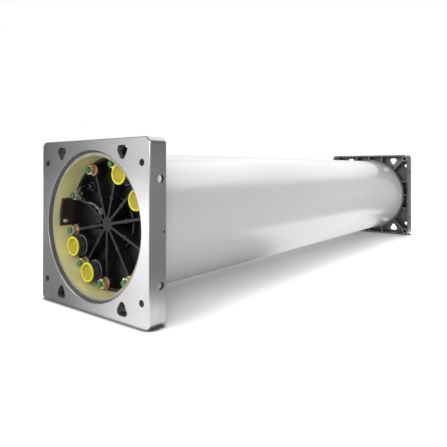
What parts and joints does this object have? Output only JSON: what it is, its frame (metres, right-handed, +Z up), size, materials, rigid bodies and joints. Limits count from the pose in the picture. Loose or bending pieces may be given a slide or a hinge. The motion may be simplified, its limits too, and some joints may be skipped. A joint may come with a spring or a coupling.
{
  "type": "electrodeionization module",
  "caption": "Round fibre-reinforced water-purifying vessel between two square ribbed cast end plates, with a ten-spoke recessed end cap and capped ports",
  "frame": {"origin": "under the middle of the module, on the plane its two end plates stand on", "axes": "+Z up, +Y along the vessel away from the port end, -Y the port end, +X right when the ports are faced"},
  "size_m": [0.34, 1.518, 0.34],
  "materials": {
    "plate_alloy": "satin",
    "vessel_shell": "gloss",
    "cap_moulding": "matte",
    "rod_steel": "satin",
    "nut_steel": "satin",
    "washer_zinc": "satin",
    "seal_rubber": "matte",
    "nozzle_moulding": "satin",
    "port_cap_yellow": "satin",
    "electrode_metal": "satin",
    "membrane_film": "matte",
    "spacer_moulding": "matte",
    "resin_beads": "matte",
    "keeper_moulding": "matte",
    "pin_moulding": "matte",
    "gland_moulding": "matte",
    "terminal_steel": "satin",
    "lug_tinned": "satin",
    "lead_jacket": "gloss"
  },
  "bodies": {
    "module": {"front_end_plate": "plate_alloy", "rear_end_plate": "plate_alloy", "pressure_vessel": "vessel_shell", "front_end_cap": "cap_moulding", "rear_end_cap": "cap_moulding", "cap_seals": "seal_rubber", "tie_rods": "rod_steel", "front_tie_nuts": "nut_steel", "rear_tie_nuts": "nut_steel", "front_washers": "washer_zinc", "rear_washers": "washer_zinc", "port_nozzles": "nozzle_moulding", "electrode_plates": "electrode_metal", "membranes": "membrane_film", "diluting_spacer": "spacer_moulding", "resin_bed": "resin_beads", "cap_keeper": "keeper_moulding", "keeper_pin": "pin_moulding", "lead_gland": "gland_moulding", "terminal_post": "terminal_steel", "terminal_nut": "terminal_steel", "cable_lug": "lug_tinned", "power_lead": "lead_jacket"},
    "cap_1": {"port_cap_1": "port_cap_yellow"},
    "cap_2": {"port_cap_2": "port_cap_yellow"},
    "cap_3": {"port_cap_3": "port_cap_yellow"},
    "cap_4": {"port_cap_4": "port_cap_yellow"}
  },
  "joints": [
    {"name": "cap_1_pull", "type": "slide", "parent": "module", "child": "cap_1", "axis": [0, -1, 0], "range_m": [0, 0.06]},
    {"name": "cap_2_pull", "type": "slide", "parent": "module", "child": "cap_2", "axis": [0, -1, 0], "range_m": [0, 0.06]},
    {"name": "cap_3_pull", "type": "slide", "parent": "module", "child": "cap_3", "axis": [0, -1, 0], "range_m": [0, 0.06]},
    {"name": "cap_4_pull", "type": "slide", "parent": "module", "child": "cap_4", "axis": [0, -1, 0], "range_m": [0, 0.06]}
  ]
}
